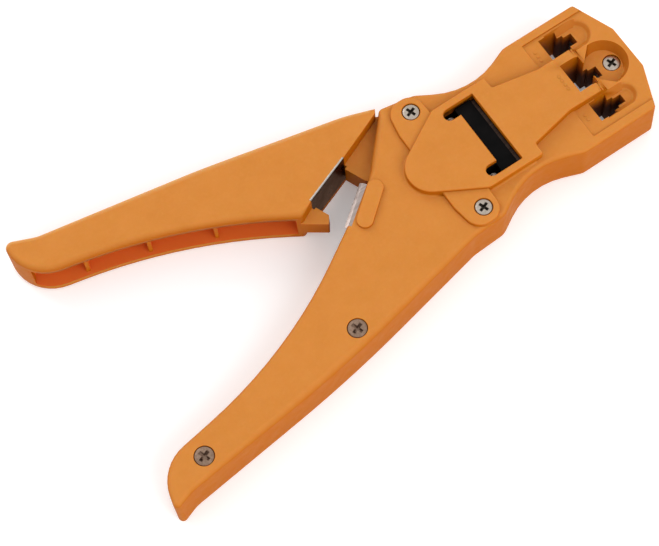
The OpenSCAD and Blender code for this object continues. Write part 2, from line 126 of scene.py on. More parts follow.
def noise(tree, scale, detail=2.0, stretch=(1, 1, 1), turn=0.0):
    """Noise in object space; scale is in cells per metre."""
    coords = tree.nodes.new("ShaderNodeTexCoord")
    mapping = tree.nodes.new("ShaderNodeMapping")
    mapping.inputs["Scale"].default_value = stretch
    mapping.inputs["Rotation"].default_value[2] = turn
    tex = tree.nodes.new("ShaderNodeTexNoise")
    tex.inputs["Scale"].default_value = scale
    tex.inputs["Detail"].default_value = detail
    tree.links.new(coords.outputs["Object"], mapping.inputs["Vector"])
    tree.links.new(mapping.outputs["Vector"], tex.inputs["Vector"])
    return tex.outputs["Fac"]


def spread(tree, value, low, high, centre=0.5, width=0.2):
    """Maps the values from centre - width to centre + width onto low to high."""
    node = tree.nodes.new("ShaderNodeMapRange")
    node.inputs["From Min"].default_value = centre - width
    node.inputs["From Max"].default_value = centre + width
    node.inputs["To Min"].default_value = low
    node.inputs["To Max"].default_value = high
    tree.links.new(value, node.inputs["Value"])
    return node.outputs["Result"]


def mix(tree, factor, first, second):
    """Goes from first to second as factor rises; each is a colour or an output."""
    node = tree.nodes.new("ShaderNodeMix")
    node.data_type = "RGBA"
    tree.links.new(factor, node.inputs["Factor"])
    for socket, colour in ((node.inputs["A"], first), (node.inputs["B"], second)):
        if isinstance(colour, tuple):
            socket.default_value = (*colour, 1)
        else:
            tree.links.new(colour, socket)
    return node.outputs["Result"]


def bump(tree, shader, heights):
    """Chains bumps; each is (height output, depth in millimetres)."""
    last = None
    for height, depth in heights:
        node = tree.nodes.new("ShaderNodeBump")
        node.inputs["Distance"].default_value = depth * MM
        tree.links.new(height, node.inputs["Height"])
        if last:
            tree.links.new(last, node.inputs["Normal"])
        last = node.outputs["Normal"]
    tree.links.new(last, shader.inputs["Normal"])


def split(tree, vector):
    """The outputs X, Y and Z of a vector."""
    parts = tree.nodes.new("ShaderNodeSeparateXYZ")
    tree.links.new(vector, parts.inputs["Vector"])
    return parts.outputs


def product(tree, first, second):
    """Two outputs multiplied."""
    both = tree.nodes.new("ShaderNodeMath")
    both.operation = "MULTIPLY"
    tree.links.new(first, both.inputs[0])
    tree.links.new(second, both.inputs[1])
    return both.outputs["Value"]


def socket_shade_depth(tree):
    """Painted shade in the plug sockets: 0 on the outside, rising to deepest down the walls of the plug
    sockets.
    """
    deepest = 0.9
    place = split(tree, tree.nodes.new("ShaderNodeTexCoord").outputs["Object"])
    facing = split(tree, tree.nodes.new("ShaderNodeNewGeometry").outputs["Normal"])
    depth = product(tree, spread(tree, place["Z"], deepest, 0, SOCKET_SHADE_Z * MM, SOCKET_SHADE_FADE * MM),
                    spread(tree, facing["Z"], 1, 0, 0.3, 0.1))
    for axis, middle, half in SOCKET_ROW:
        for side in (1, -1):
            within = spread(tree, place[axis], 1, 0, (middle + side * half) * MM, side * SOCKET_SHADE_EDGE * MM)
            depth = product(tree, depth, within)
    return depth


def orange_plastic(name, side, top_sheen=True, edge_sheen=False):
    """Moulded ABS: faint mottling and a fine grain. Faces towards +Z take a paler painted sheen and the
    sides a deeper orange as painted shade;
    where asked, the edges towards +Y are palest, a painted sheen too. The plug sockets' lower walls take
    painted shade."""
    mat, tree, shader = new_material(name)
    cloud = spread(tree, noise(tree, 130, 3), 0, 1)
    speck = spread(tree, noise(tree, 900, 2), 0, 1, width=0.25)
    base = mix(tree, cloud, *SHEEN_FACE_ORANGE)
    specked = mix(tree, speck, base, SPECK_ORANGE)
    blend = mix(tree, spread(tree, noise(tree, 420, 2), 0.1, 0.6), base, specked)
    facing = split(tree, tree.nodes.new("ShaderNodeTexCoord").outputs["Normal"])
    # painted sheen on faces towards +Z, painted shade on the sides
    blend = mix(tree, spread(tree, facing["Z"], 0, 1 if top_sheen else 0.1, 0.6, 0.36), side, blend)
    # a painted pale sheen on the edges facing +Y
    if edge_sheen:
        edge = product(tree, spread(tree, facing["Y"], 0, 1, 0.35, 0.3),
                       spread(tree, facing["Z"], 0, 1, 0.3, 0.25))
        blend = mix(tree, edge, blend, EDGE_SHEEN_ORANGE)
    # painted shade on the plug sockets' lower walls
    blend = mix(tree, socket_shade_depth(tree), blend, SOCKET_SHADE)
    tree.links.new(blend, shader.inputs["Base Color"])
    tree.links.new(spread(tree, noise(tree, 300, 3), 0.46, 0.60), shader.inputs["Roughness"])
    shader.inputs["Specular IOR Level"].default_value = 0.06
    shader.inputs["Subsurface Weight"].default_value = 0.3
    shader.inputs["Subsurface Radius"].default_value = (1.0, 0.28, 0.05)
    shader.inputs["Subsurface Scale"].default_value = 1.6 * MM
    bump(tree, shader, [(noise(tree, 2600, 1), 0.012), (noise(tree, 120, 2), 0.03)])
    return mat


def black_plastic():
    """Smooth moulded plastic, a little worn in patches."""
    mat, tree, shader = new_material("black_plastic")
    worn = spread(tree, noise(tree, 160, 4), 0, 1, centre=0.58)
    tree.links.new(mix(tree, worn, (0.0018, 0.0018, 0.0018), (0.006, 0.005, 0.005)),
                   shader.inputs["Base Color"])
    tree.links.new(spread(tree, noise(tree, 500, 3), 0.35, 0.6), shader.inputs["Roughness"])
    shader.inputs["Specular IOR Level"].default_value = 0.06
    bump(tree, shader, [(noise(tree, 2200, 1), 0.01)])
    return mat


def metal(name, dark, light, rough, brushed=None, grain=1500, top=None, edge=None):
    """Metal with fine marks; brushed is the angle of its grain in the XY plane, in degrees.
    top is a brighter colour that faces pointing along Z take, and edge tints its glancing gloss."""
    mat, tree, shader = new_material(name)
    shader.inputs["Metallic"].default_value = 1.0
    if edge:
        shader.inputs["Specular Tint"].default_value = (*edge, 1)
    stretch = (1, 1, 1) if brushed is None else (0.04, 1, 1)
    turn = 0.0 if brushed is None else -math.radians(brushed)
    marks = noise(tree, grain, 3, stretch, turn)
    colour = mix(tree, spread(tree, marks, 0, 1), dark, light)
    if top:
        facing = split(tree, tree.nodes.new("ShaderNodeNewGeometry").outputs["Normal"])
        facing = spread(tree, facing["Z"], 0, 1, centre=0.6, width=0.25)
        colour = mix(tree, facing, colour, top)
    tree.links.new(colour, shader.inputs["Base Color"])
    stains = noise(tree, 220, 4)
    tree.links.new(spread(tree, stains, rough - 0.07, rough + 0.1), shader.inputs["Roughness"])
    bump(tree, shader, [(marks, 0.008), (stains, 0.01)])
    return mat


ORANGE = orange_plastic("orange_plastic", SHADED_SIDE_ORANGE)
GRIP = orange_plastic("orange_grip", SHADED_SIDE_ORANGE, edge_sheen=True)
# painted bounce light on the pocket walls, with little of the painted sheen on faces towards +Z
POCKET = orange_plastic("orange_pocket_bounce", POCKET_BOUNCE_ORANGE, top_sheen=False)
BLACK = black_plastic()
PLATED = metal("plated_steel", (0.48, 0.41, 0.34), (0.63, 0.55, 0.47), 0.3)
BRONZED = metal("bronze_steel", (0.25, 0.16, 0.11), (0.38, 0.26, 0.19), 0.42)
# painted shade: the near black colour of the plated screws' cross recesses
RECESS = metal("recess_shade_steel", (0.045, 0.036, 0.028), (0.085, 0.070, 0.056), 0.5)
BRONZED_RECESS = metal("recess_bronze", (0.24, 0.16, 0.115), (0.40, 0.28, 0.21), 0.5)
BLADE = metal("blade_steel", (0.43, 0.35, 0.32), (0.58, 0.49, 0.45), 0.36, brushed=38.5)
DARK = metal("dark_steel", (0.045, 0.032, 0.024), (0.085, 0.062, 0.048), 0.4, brushed=90)
PUSHER = metal("pusher_steel", (0.075, 0.050, 0.038), (0.150, 0.105, 0.085), 0.45, brushed=90)
PLATE = metal("backing_steel", (0.050, 0.028, 0.018), (0.085, 0.050, 0.034), 0.3, brushed=21,
              top=(0.50, 0.47, 0.43), edge=(0.75, 0.62, 0.55))
DIE = metal("die_steel", (0.30, 0.29, 0.28), (0.42, 0.41, 0.40), 0.3, brushed=0)
WIRE = metal("spring_steel", (0.40, 0.38, 0.36), (0.58, 0.56, 0.53), 0.24)
BRASS = metal("bush_brass", (0.45, 0.28, 0.10), (0.60, 0.40, 0.16), 0.3)


# ---------------------------------------------------------------- mesh helpers

def link(name, mesh, mat, body, replaces=()):
    """Puts a finished mesh in the scene as a piece that rides on a CAD body, where one is named."""
    obj = bpy.data.objects.new(name, mesh)
    SCENE.collection.objects.link(obj)
    mesh.materials.clear()
    mesh.materials.append(mat)
    if body:
        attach(obj, body)
    if replaces:
        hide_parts(*replaces)
    return obj


def smooth(mesh, angle=32):
    """Smooth shading, except along edges that turn by more than angle degrees."""
    for face in mesh.polygons:
        face.use_smooth = True
    mesh.set_sharp_from_angle(angle=math.radians(angle))


def close_rings(bm, rings):
    """Joins rings of equally many vertices into a closed solid with flat ends."""
    count = len(rings[0])
    for near, far in zip(rings, rings[1:]):
        for k in range(count):
            bm.faces.new((near[k], near[(k + 1) % count], far[(k + 1) % count], far[k]))
    bm.faces.new(rings[0])
    bm.faces.new(rings[-1])
    bmesh.ops.recalc_face_normals(bm, faces=bm.faces)


def lathe(profile, at, steps=40):
    """A closed turned mesh: profile is (radius, z) from the top centre to the bottom centre."""
    bm = bmesh.new()
    rings = []
    for r, z in profile:
        if r == 0:
            rings.append([bm.verts.new((at[0], at[1], z))])
            continue
        angles = [2 * math.pi * k / steps for k in range(steps)]
        rings.append([bm.verts.new((at[0] + r * math.cos(a), at[1] + r * math.sin(a), z))
                      for a in angles])
    for upper, lower in zip(rings, rings[1:]):
        for k in range(steps):
            quad = [upper[k % len(upper)], lower[k % len(lower)],
                    lower[(k + 1) % len(lower)], upper[(k + 1) % len(upper)]]
            bm.faces.new(list(dict.fromkeys(quad)))
    return bm


def mesh_of(bm, name, scale=MM):
    """Turns a bmesh into a mesh; without a scale it goes from millimetres to metres."""
    bmesh.ops.scale(bm, vec=(scale, scale, scale), verts=bm.verts)
    mesh = bpy.data.meshes.new(name)
    bm.to_mesh(mesh)
    bm.free()
    return mesh


def combine(operation, first, *others):
    """Exact boolean of bmeshes in millimetres, with its coincident points merged."""
    solid = bpy.data.objects.new("solid", mesh_of(first, "solid", 1))
    tools = [bpy.data.objects.new("tool", mesh_of(other, "tool", 1)) for other in others]
    for obj in [solid] + tools:
        SCENE.collection.objects.link(obj)
    for tool in tools:
        modifier = solid.modifiers.new(operation, "BOOLEAN")
        modifier.operation = operation
        modifier.solver = "EXACT"
        modifier.object = tool
    result = bpy.data.meshes.new_from_object(
        solid.evaluated_get(bpy.context.evaluated_depsgraph_get()))
    for obj in [solid] + tools:
        bpy.data.objects.remove(obj)
    bm = bmesh.new()
    bm.from_mesh(result)
    bmesh.ops.remove_doubles(bm, verts=bm.verts, dist=WELD_DIST / 2)
    bmesh.ops.dissolve_degenerate(bm, edges=bm.edges, dist=WELD_DIST / 2)
    return bm


def join(parts):
    """One bmesh of several that stay separate shells."""
    whole = bmesh.new()
    for part in parts:
        mesh = bpy.data.meshes.new("part")
        part.to_mesh(mesh)
        part.free()
        whole.from_mesh(mesh)
    return whole


def weigh_normals(obj, weight=90):
    """Large flat faces keep flat shading where they meet a rounding."""
    weighted = obj.modifiers.new("normals", "WEIGHTED_NORMAL")
    weighted.keep_sharp = True
    weighted.weight = weight


def welded(node):
    """A bmesh of a CAD node: doubled vertices merged, flat faces joined, in millimetres."""
    bm = bmesh.new()
    bm.from_mesh(NODES[node].data)
    bmesh.ops.scale(bm, vec=(1 / MM, 1 / MM, 1 / MM), verts=bm.verts)
    bmesh.ops.remove_doubles(bm, verts=bm.verts, dist=WELD_DIST)
    bmesh.ops.dissolve_limit(bm, angle_limit=FLAT_ANGLE, verts=bm.verts, edges=bm.edges)
    bm.normal_update()
    return bm


# ---------------------------------------------------------------- housing and handle

def flipped(path):
    """The outline mirrored across the tool's middle."""
    return [[x, -y, r] for x, y, r in reversed(path)]


# How finely an outline's arcs are cut, in degrees and millimetres, and its smallest radii
ARC_ANGLE = 9
ARC_LENGTH = 7
STRAIGHT = 89.5         # a corner with more than this half angle is taken as a plain point
LEAST_R = 0.02
LEAST_MOVED_R = 0.3

# Rounded outlines as the CAD has them: [x, y, corner radius], run counter-clockwise
HALF_HEAD = [[58.4, 8.5, 2], [52.3, 23.7, 1.2], [23.3, 23.8, 6], [5.2, 16.95, 26], [-11.5, 26.9, 6.5]]
BODY = (HALF_HEAD
        + [[-23.9, 29.1, 2.2], [-27.71, 24.81, 0], [-38.6, 12.53, 0], [-41.2, 9.6, 3]]  # shoulder
        + [[-56.9, -0.7, 6], [-97.2, -26.3, 165], [-151.6, -35.2, 15]]  # the grip's inner edge
        + [[-155.3, -51, 1.6], [-147.6, -48.1, 12], [-82, -40.2, 500], [-24, -27.5, 8]]  # its outer edge
        + flipped(HALF_HEAD))
HALF_ISLAND = [[-10.7, -17.1, 3], [10.9, -17.1, 0.8], [10.9, -12.6, 0.8], [27.3, -9.3, 8], [43, -9.3, 0]]
ISLAND = [[-31.3, 5.35, 9.1], [-31.3, -5.35, 9.1]] + HALF_ISLAND + flipped(HALF_ISLAND)
EAR = [[-10.8, 16, 0], [-11.2, 26.9, 5.4], [-22.6, 26.9, 5.8], [-24.4, 16, 4], [-24.4, 8, 0]]
WINDOW = [[-3.35, -14.5, 0.4], [4.1, -14.5, 0.4], [4.1, 14.5, 0.4], [-3.35, 14.5, 0], [-8.65, 14.5, 2.1],
          [-8.65, 10.2, 2.1], [-3.35, 10.2, 0.6], [-3.35, -10.2, 0.6], [-8.65, -10.2, 2.1],
          [-8.65, -14.5, 2.1]]
SUNK = [[29.1, 12, 0.3], [57, 12, 0.3], [57, 20.5, 0.3], [29.1, 20.5, 0.3]]
FOOT_REGION = [[-60, -40, 0], [8, -40, 0], [8, 40, 0], [-60, 40, 0]]    # where the panel has a fillet
PAD_FROM = Vector((-50.6, -2.4))
PAD_ALONG = Vector((0.767, 0.642))
PAD_LEN = 12.1
PAD_R = 2.9

# Radii of the rims, and how far the edges of the openings are broken
RIM_R = 1.6
REAR_RIM_R = 1.4
PANEL_RIM_R = 0.6
EAR_RIM_R = 0.7
PAD_RIM_R = 0.45
PANEL_FOOT_R = 0.9
WINDOW_BREAK = 0.35
SUNK_BREAK = 0.3
EAR_BORE_BREAK = 0.25
HANDLE_BORE_BREAK = 0.1

GROW = 0.01             # the rounded solids stand this far outside the CAD's faces
SHELL_LOW_Z = 1.5       # they start below the front shell, or inside it for its raised parts
RAISED_LOW_Z = 10
REAR_HIGH_Z = 6         # and end above the rear cover

# Raised pips on the panel
PIP_COUNT = 4
PIP_PITCH = 1.8
PIP_X = 31.4
PIP_R = 0.55
PIP_TOP_Z = 21.25
PIP_EDGE = 0.13
PIP_SIDE = 0.35


def corner_turn(path, k):
    """(unit vector back, unit vector on, half the inner angle in degrees) at corner k."""
    here, before, after = (Vector(path[(k + d) % len(path)][:2]) for d in (0, -1, 1))
    back, on = (before - here).normalized(), (after - here).normalized()
    return back, on, math.degrees(back.angle(on)) / 2


def arc_steps(path):
    """How many segments each corner's arc takes."""
    steps = []
    for k, (_, _, r) in enumerate(path):
        turn = 180 - 2 * corner_turn(path, k)[2]
        steps.append(max(2, math.ceil(turn / ARC_ANGLE), math.ceil(math.radians(turn) * r / ARC_LENGTH)))
    return steps


def outline(path, steps):
    """Points along a rounded outline."""
    points = []
    for k, (x, y, r) in enumerate(path):
        back, on, half = corner_turn(path, k)
        here = Vector((x, y))
        if half > STRAIGHT:
            points.append(here)
            continue
        r = max(r, LEAST_R)
        middle = here + (back + on).normalized() * r / math.sin(math.radians(half))
        arm = here + back * r / math.tan(math.radians(half)) - middle
        side = -1 if back.cross(on) > 0 else 1
        for j in range(steps[k] + 1):
            spin = Matrix.Rotation(math.radians(side * (180 - 2 * half)) * j / steps[k], 2)
            points.append(middle + spin @ arm)
    return points


def inset(path, d):
    """The outline moved inwards by d, or outwards where d is negative."""
    moved = []
    for k, (x, y, r) in enumerate(path):
        back, on, half = corner_turn(path, k)
        first, second = -back, on
        shift = (Vector((-first.y, first.x)) + Vector((-second.y, second.x))) / (1 + first.dot(second))
        turned_left = first.cross(second) > 0
        moved_r = max(r - d if turned_left else r + d, LEAST_MOVED_R)
        moved.append([x + shift.x * d, y + shift.y * d, moved_r])
    return moved


def rounded_slab(path, low, high, top_r=0.0, low_r=0.0, swell=lambda point: 1.0, steps=5):
    """A slab whose rims are rounded; swell scales the radius from place to place."""
    bm = bmesh.new()
    counts = arc_steps(path)
    base = outline(path, counts)
    levels = []
    for r, edge, sign in ((low_r, low, 1), (top_r, high, -1)):
        turns = [k / steps for k in range(steps + 1)] if r else [1]
        arc = [(r * (1 - math.cos(t * math.pi / 2)), edge, sign * r * (1 - math.sin(t * math.pi / 2)))
               for t in turns]
        levels += reversed(arc) if sign > 0 else arc
    rings = []
    for d, edge, rise in levels:
        ring = []
        for start, end in zip(base, outline(inset(path, d), counts)):
            scale = swell(start)
            point = start + (end - start) * scale
            ring.append(bm.verts.new((point.x, point.y, edge + rise * scale)))
        rings.append(ring)
    close_rings(bm, rings)
    return bm


def skirt(path, z, r, steps=5):
    """The hollow fillet round the foot of a raised outline, as a closed band of solid."""
    bm = bmesh.new()
    counts = arc_steps(path)
    sunk = 0.02                     # the fillet's ends lie this far inside the wall and the floor
    in_wall, in_floor = 0.3, 0.4    # and the band behind it reaches this far in
    levels = [(in_wall, z + r), (in_wall, z - in_floor), (-r, z - in_floor)]
    for k in range(steps + 1):
        a = math.pi / 2 * k / steps
        levels.append((sunk - r * (1 - math.sin(a)), z - sunk + r * (1 - math.cos(a))))
    rings = [[bm.verts.new((p.x, p.y, height)) for p in outline(inset(path, d), counts)]
             for d, height in levels]
    count = len(rings[0])
    for near, far in zip(rings, rings[1:] + rings[:1]):
        for k in range(count):
            bm.faces.new((near[k], near[(k + 1) % count], far[(k + 1) % count], far[k]))
    bmesh.ops.recalc_face_normals(bm, faces=bm.faces)
    return bm


def flare(path, z, r):
    """The cutter that breaks the edge of an opening whose outline is path, at level z."""
    bm = bmesh.new()
    counts = arc_steps(path)
    # from the opening's wall outwards to the face, and on above it
    above = 0.4
    levels = ((0.0, z - r), (-0.3 * r, z - 0.4 * r), (-r, z), (-1.6 * r, z + above))
    rings = [[bm.verts.new((p.x, p.y, height)) for p in outline(inset(path, d), counts)]
             for d, height in levels]
    close_rings(bm, rings)
    return bm


def circle_path(at, r):
    """A square rounded almost to a circle, so that its arcs stay apart."""
    return [[at[0] + r * x, at[1] + r * y, 0.99 * r] for x, y in ((1, -1), (1, 1), (-1, 1), (-1, -1))]


def pad_path():
    """The outline of the raised pad over the blade, a slot with round ends."""
    side = Vector((-PAD_ALONG.y, PAD_ALONG.x)) * PAD_R
    ends = (PAD_FROM - PAD_ALONG * PAD_R, PAD_FROM + PAD_ALONG * (PAD_LEN + PAD_R))
    corners = (ends[0] - side, ends[1] - side, ends[1] + side, ends[0] + side)
    return [[c.x, c.y, PAD_R * 0.98] for c in corners]


def ramp(value, low, high):
    """0 up to low, rising to 1 at high."""
    return min(max((value - low) / (high - low), 0), 1)


def rim_swell(point):
    """The rim is crisper on the head, softer beside the moving handle and along the grip's outer edge."""
    head_swell, shoulder_swell, grip_swell = 0.65, 1.75, 1.6
    on_head = point.x > 20
    by_handle = -40 < point.x < -26 and point.y > 12
    on_outer_edge = point.y < -22 + 0.135 * point.x
    if on_head:
        return head_swell
    if by_handle:
        return shoulder_swell
    if on_outer_edge:
        # in full between x = -128 and x = -40
        return 1 + (grip_swell - 1) * ramp(point.x, -143, -128) * ramp(-point.x, 28, 40)
    return 1.0


def grown(path):
    """The outline a hair outside the CAD's."""
    return inset(path, -GROW)


def pip_row():
    """Raised pips on the panel, which count the middle socket's pairs of contacts."""
    pips = []
    for k in range(PIP_COUNT):
        profile = [(0, PIP_TOP_Z), (PIP_R - PIP_EDGE, PIP_TOP_Z), (PIP_R, PIP_TOP_Z - PIP_EDGE),
                   (PIP_R, PIP_TOP_Z - PIP_SIDE), (0, PIP_TOP_Z - PIP_SIDE)]
        pips.append(lathe(profile, (PIP_X, (k - (PIP_COUNT - 1) / 2) * PIP_PITCH), 20))
    return pips


def front_shell():
    """The CAD housing, cut to rounded rims, with hollow fillets at the feet of its raised parts."""
    pieces = [rounded_slab(grown(BODY), SHELL_LOW_Z, BODY_Z + GROW, RIM_R, swell=rim_swell),
              rounded_slab(grown(ISLAND), RAISED_LOW_Z, ISLAND_Z + GROW, PANEL_RIM_R),
              rounded_slab(grown(EAR), SHELL_LOW_Z, EAR_Z + GROW, EAR_RIM_R),
              rounded_slab(grown(flipped(EAR)), SHELL_LOW_Z, EAR_Z + GROW, EAR_RIM_R),
              rounded_slab(grown(pad_path()), RAISED_LOW_Z, PAD_Z + GROW, PAD_RIM_R)]
    envelope = combine("UNION", *pieces)
    shell = combine("INTERSECT", welded("front_housing"), envelope)
    foot_region = rounded_slab(FOOT_REGION, 0, 2 * ISLAND_Z)
    panel_foot = combine("INTERSECT", skirt(ISLAND, BODY_Z, PANEL_FOOT_R), foot_region)
    shell = combine("UNION", shell, panel_foot)
    mouths = [flare(WINDOW, ISLAND_Z, WINDOW_BREAK)]
    mouths += [flare(circle_path(at, EAR_BORE_R), EAR_Z, EAR_BORE_BREAK) for at in (PIVOT, EAR_RIGHT)]
    mouths += [flare(circle_path(at, HANDLE_BORE_R), BODY_Z, HANDLE_BORE_BREAK) for at in HANDLE_SCREWS]
    mouths += [flare(path, BODY_Z, SUNK_BREAK) for path in (SUNK, flipped(SUNK))]
    shell = combine("DIFFERENCE", shell, *mouths)
    mesh = mesh_of(join([shell] + pip_row()), "front_shell")
    smooth(mesh)
    obj = link("front_shell", mesh, ORANGE, "frame_body", ["front_housing"])
    weigh_normals(obj)


def rear_shell():
    """The CAD cover, cut to a rounded lower rim."""
    envelope = rounded_slab(grown(BODY), -GROW, REAR_HIGH_Z, low_r=REAR_RIM_R)
    shell = combine("INTERSECT", welded("rear_cover"), envelope)
    mesh = mesh_of(shell, "rear_shell")
    smooth(mesh)
    obj = link("rear_shell", mesh, ORANGE, "frame_body", ["rear_cover"])
    weigh_normals(obj)


# The moving handle at rest: its outline, the levels of its layers and the radii of its rims
HANDLE = [[-25.8, 28.45, 1.2], [-24.7, 30.5, 0.8], [-36, 34.5, 60], [-86, 46, 300], [-143.2, 56, 12],
          [-154.2, 60.7, 2.4], [-154.5, 44.2, 15.2], [-102, 33, 205], [-66.9, 10.9, 1.5],
          [-61.9, 13.5, 3], [-44.6, 20.3, 0]]
TONGUE_REGION = [[-80, 0, 0], [-15, 0, 0], [-15, 40, 0], [-60, 36, 0]]    # the tongue and the wedge
TONGUE_Z = (2.9, 12.4)
HANDLE_RIM_R = 2.2
HANDLE_LOW_R = 1.2
POCKET_Z = (3.2, 14.5)
POCKET_END_X = -64      # the pockets lie beyond this, towards the end of the handle
RIB_BACK = 1.4          # the ribs end this far inside the pockets' mouths


def handle_swell(point):
    """Crisp along the cutter's backing plate, and softest along the outer edge of the grip."""
    plate_swell, outer_swell = 0.12, 1.35
    by_plate = point.x > -65.5 and point.y < 30 and point.y < 0.42 * point.x + 41.5
    on_outer_edge = point.y > 24 - 0.16 * point.x
    if by_plate:
        return plate_swell
    if on_outer_edge:
        # in full between x = -130 and x = -46
        return 1 + (outer_swell - 1) * ramp(point.x, -142, -130) * ramp(-point.x, 34, 46)
    return 1.0


def is_inside(point, path):
    """Whether point lies within the outline: a line drawn from it crosses the outline an odd number
    of times."""
    corners = outline(path, arc_steps(path))
    crossings = 0
    for a, b in zip(corners, corners[1:] + corners[:1]):
        if (a.y > point.y) != (b.y > point.y):
            crossings += point.x < a.x + (b.x - a.x) * (point.y - a.y) / (b.y - a.y)
    return crossings % 2 == 1


def tint_pockets(mesh):
    """Gives the walls of the grip's open pockets a deeper orange, painted light that stands in for light
    bounced between the walls.
    """
    mesh.materials.append(POCKET)
    slack = 0.1
    within = inset(HANDLE, RIB_BACK + 2 * slack)
    for face in mesh.polygons:
        centre = face.center / MM
        level = POCKET_Z[0] - slack < centre.z < POCKET_Z[1] + slack
        if level and centre.x < POCKET_END_X and is_inside(centre.xy, within):
            face.material_index = 1


def swinging_handle():
    """The CAD handle, cut to rounded rims; the tongue and the wedge keep their shape."""
    rims = rounded_slab(grown(HANDLE), -GROW, BODY_Z + GROW, HANDLE_RIM_R, HANDLE_LOW_R, handle_swell)
    tongue = rounded_slab(TONGUE_REGION, *TONGUE_Z)
    envelope = combine("UNION", rims, tongue)
    mesh = mesh_of(combine("INTERSECT", welded("moving_handle"), envelope), "swinging_handle")
    smooth(mesh)
    obj = link("swinging_handle", mesh, GRIP, "lever_body", ["moving_handle"])
    tint_pockets(mesh)
    weigh_normals(obj)


# ---------------------------------------------------------------- screws

def cross_cutter(at, z, size, turn):
    """The tapered four-winged shape that leaves a cross recess."""
    bm = bmesh.new()
    rings = []
    # height, reach and half width of the wings at each level, as shares of size
    levels = ((0.6, 1.08, 0.31), (0, 1, 0.28), (-0.5, 0.74, 0.23), (-0.8, 0.42, 0.17))
    for dz, reach, half in levels:
        ring = []
        for quarter in range(4):
            spin = Matrix.Rotation(quarter * math.pi / 2 + turn, 2)
            for corner in ((reach, -half), (reach, half), (half, half)):
                point = spin @ Vector(corner) * size
                ring.append(bm.verts.new((at[0] + point.x, at[1] + point.y, z + dz * size)))
        rings.append(ring)
    close_rings(bm, rings)
    return bm


def cross_screw(name, at, head, mat, replaces, dome=0.25, recess_mat=RECESS):
    """A pan-head screw with a cross recess and a threaded shank."""
    head_r, head_h, top = head
    pitch, thread, plain = 0.7, 0.12, 1.5
    recess_r, recess_turn = 0.64 * head_r, math.radians(20)
    profile = [(0, top), (head_r * 0.55, top - dome * 0.2), (head_r * 0.82, top - dome * 0.6),
               (head_r * 0.94, top - dome), (head_r, top - dome - 0.22), (head_r, top - head_h + 0.3),
               (head_r - 0.3, top - head_h), (SHANK_R, top - head_h)]
    threads = int((top - head_h - plain - SCREW_FOOT) / pitch)
    z = SCREW_FOOT + threads * pitch
    for k in range(threads):
        profile += [(SHANK_R, z - k * pitch), (SHANK_R - thread, z - (k + 0.5) * pitch)]
    profile += [(SHANK_R - 0.25, SCREW_FOOT), (0, SCREW_FOOT)]
    recess = cross_cutter(at, top, recess_r, recess_turn)
    mesh = mesh_of(combine("DIFFERENCE", lathe(profile, at), recess), name)
    smooth(mesh, 28)
    link(name, mesh, mat, "frame_body", replaces)
    mesh.materials.append(recess_mat)
    axis = Vector(at) * MM
    # the recess's own faces lie within its reach, between the head's underside and its dome; on the
    # plated screws their material is painted shade
    for face in mesh.polygons:
        inside = (face.center.xy - axis).length < (recess_r + 0.04 * head_r) * MM
        if inside and (top - head_h + 0.1) * MM < face.center.z < (top - dome - 0.02) * MM:
            face.material_index = 1


def screws():
    """Two plated screws in the ears, one in the head and two bronzed ones along the fixed handle."""
    for name, at in (("ear_screw_left", PIVOT), ("ear_screw_right", EAR_RIGHT)):
        cross_screw(name, at, EAR_SCREW_HEAD, PLATED, ["ear_screws"])
    cross_screw("head_cross_screw", HEAD_SCREW, HEAD_SCREW_HEAD, PLATED, ["head_screw"])
    for k, at in enumerate(HANDLE_SCREWS):
        cross_screw(f"handle_cross_screw_{k + 1}", at, HANDLE_SCREW_HEAD, BRONZED,
                    ["handle_screws"], dome=0.15, recess_mat=BRONZED_RECESS)


# ---------------------------------------------------------------- springs

def tube(points, r, sides=8):
    """A closed tube of radius r swept along points without twisting."""
    bm = bmesh.new()
    rings = []
    side = None
    for k, point in enumerate(points):
        ahead = (points[min(k + 1, len(points) - 1)] - points[max(k - 1, 0)]).normalized()
        if side is None:
            side = ahead.orthogonal()
        side = (side - ahead * side.dot(ahead)).normalized()
        over = ahead.cross(side)
        rings.append([bm.verts.new(point + (side * math.cos(a) + over * math.sin(a)) * r)
                      for a in (2 * math.pi * j / sides for j in range(sides))])
    close_rings(bm, rings)
    return bm


def spring_loop(x, y, first):
    """Most of a turn round a post at x, y, starting at the angle first, in degrees."""
    loop_r, sweep, steps = 1.5, 320, 12
    angles = [math.radians(first + sweep * k / steps) for k in range(steps + 1)]
    return [Vector((x + loop_r * math.cos(a), y + loop_r * math.sin(a), SPRING_Z)) for a in angles]


def spring_route(y):
    """Hook loop, close coils, hook loop: the centreline of an extension spring's wire."""
    coil_r, pitch, per_turn, neck = 1.15, 0.72, 14, 2.4
    start, end = ANCHOR_X + neck, HOOK_X - neck
    points = spring_loop(ANCHOR_X, y, 20)
    turns = int((end - start) / pitch)
    for k in range(turns * per_turn + 1):
        a = 2 * math.pi * k / per_turn - math.pi / 2
        x = start + (end - start) * k / (turns * per_turn)
        points.append(Vector((x, y + coil_r * math.cos(a), SPRING_Z + coil_r * math.sin(a))))
    return points + spring_loop(HOOK_X, y, 200)


def springs():
    """Both return springs; they stretch between their anchors and the ram's hooks."""
    wire_r = 0.32
    for side, sign in (("left", 1), ("right", -1)):
        mesh = mesh_of(tube(spring_route(sign * SPRING_Y), wire_r), "coil_spring_" + side)
        smooth(mesh, 60)
        obj = link("coil_spring_" + side, mesh, WIRE, None,
                   ["return_spring_" + side])
        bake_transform(obj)


# ---------------------------------------------------------------- CAD nodes that show as they are

